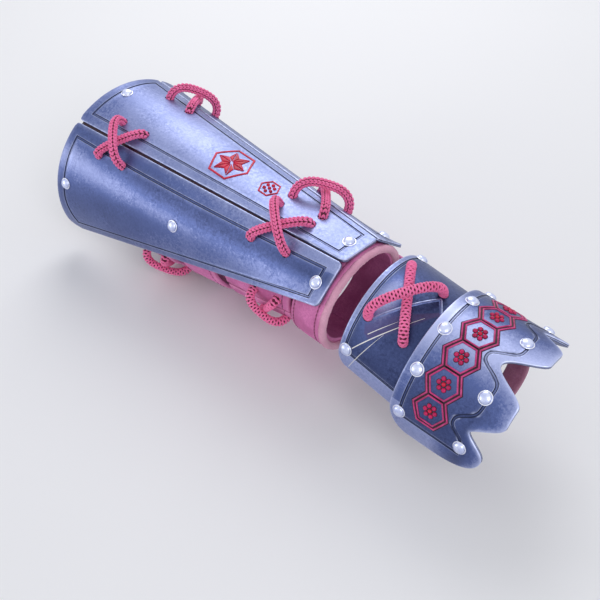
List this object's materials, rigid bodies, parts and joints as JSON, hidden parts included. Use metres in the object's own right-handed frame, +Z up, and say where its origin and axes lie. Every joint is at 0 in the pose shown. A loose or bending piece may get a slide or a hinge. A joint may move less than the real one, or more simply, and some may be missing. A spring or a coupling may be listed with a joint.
{
  "type": "armoured_gauntlet",
  "caption": "Laced forearm and hand guard with steel-blue plates, pink leather bands, domed rivets and a hinged knuckle plate with enamelled hexagons",
  "frame": {"origin": "centre of the wrist cuff's bore, midway along it", "axes": "+X along the forearm towards the hand, +Y towards the far side plate, +Z up through the centre plate"},
  "size_m": [0.3403, 0.119, 0.1027],
  "materials": {
    "blue_steel": "mottled steel blue, worn to bright edges",
    "pink_leather": "pebbled pink-mauve leather",
    "pink_lining": "plain lining leather",
    "piping_leather": "smooth rolled leather",
    "silver_rivet": "bright domed head",
    "burr_metal": "plain burr washer",
    "seam_cord": "knitted cord",
    "red_enamel": "raised glossy enamel",
    "magenta_enamel": "raised glossy enamel line",
    "washer_leather": "hard leather washer"
  },
  "bodies": {
    "forearm": {"centre_plate": "blue_steel", "centre_plate_rivets": "silver_rivet", "centre_plate_burrs": "burr_metal", "centre_lining": "pink_lining", "centre_star": "red_enamel", "centre_badge": "red_enamel", "elbow_band": "pink_leather", "middle_band": "pink_leather", "fore_band": "pink_leather", "wrist_cuff": "pink_leather", "cuff_piping": "piping_leather", "elbow_band_lace": "seam_cord", "fore_band_lace": "seam_cord", "link_pivot_rivet": "silver_rivet", "link_pivot_burr": "burr_metal", "near_elbow_lace": "seam_cord", "near_wrist_lace": "seam_cord", "far_elbow_lace": "seam_cord", "far_wrist_lace": "seam_cord"},
    "near_side": {"near_plate": "blue_steel", "near_plate_rivets": "silver_rivet", "near_plate_burrs": "burr_metal"},
    "far_side": {"far_plate": "blue_steel", "far_plate_rivets": "silver_rivet", "far_plate_burrs": "burr_metal"},
    "wrist_link": {"link_strap": "pink_lining"},
    "hand": {"wrist_plate": "blue_steel", "wrist_plate_rivets": "silver_rivet", "wrist_plate_burrs": "burr_metal", "wrist_plate_lace": "seam_cord", "hand_lining": "pink_lining", "link_hand_rivet": "silver_rivet"},
    "knuckle": {"knuckle_plate": "blue_steel", "pivot_rivets": "silver_rivet", "pivot_washers": "washer_leather", "pivot_burrs": "burr_metal", "knuckle_rear_rivets": "silver_rivet", "knuckle_front_rivets": "silver_rivet", "knuckle_burrs": "burr_metal", "kikko_frames": "magenta_enamel", "kikko_flowers": "red_enamel", "finger_loop": "pink_lining"}
  },
  "joints": [
    {"name": "near_plate_hinge", "type": "hinge", "parent": "forearm", "child": "near_side", "pos_m": [-0.0969, -0.02395, 0.03395], "axis": [-0.9961, -0.0874, -0.0077], "range_deg": [0, 20], "deforming": ["near_elbow_lace", "near_wrist_lace"]},
    {"name": "far_plate_hinge", "type": "hinge", "parent": "forearm", "child": "far_side", "pos_m": [-0.0969, 0.02395, 0.03395], "axis": [0.9961, -0.0874, 0.0077], "range_deg": [0, 20], "deforming": ["far_elbow_lace", "far_wrist_lace"]},
    {"name": "wrist_flex", "type": "hinge", "parent": "forearm", "child": "wrist_link", "pos_m": [0.0021, 0.035, 0], "axis": [0, 1, 0], "range_deg": [-10, 25]},
    {"name": "wrist_swing", "type": "hinge", "parent": "wrist_link", "child": "hand", "pos_m": [0.0191, 0.0355, 0], "axis": [0, 0, 1], "range_deg": [-4, 6], "deforming": ["link_strap"]},
    {"name": "knuckle_flex", "type": "hinge", "parent": "hand", "child": "knuckle", "pos_m": [0.07653, -0.00224, 0.0037], "axis": [-0.0707, 0.9567, 0.2825], "range_deg": [-7, 12]}
  ]
}
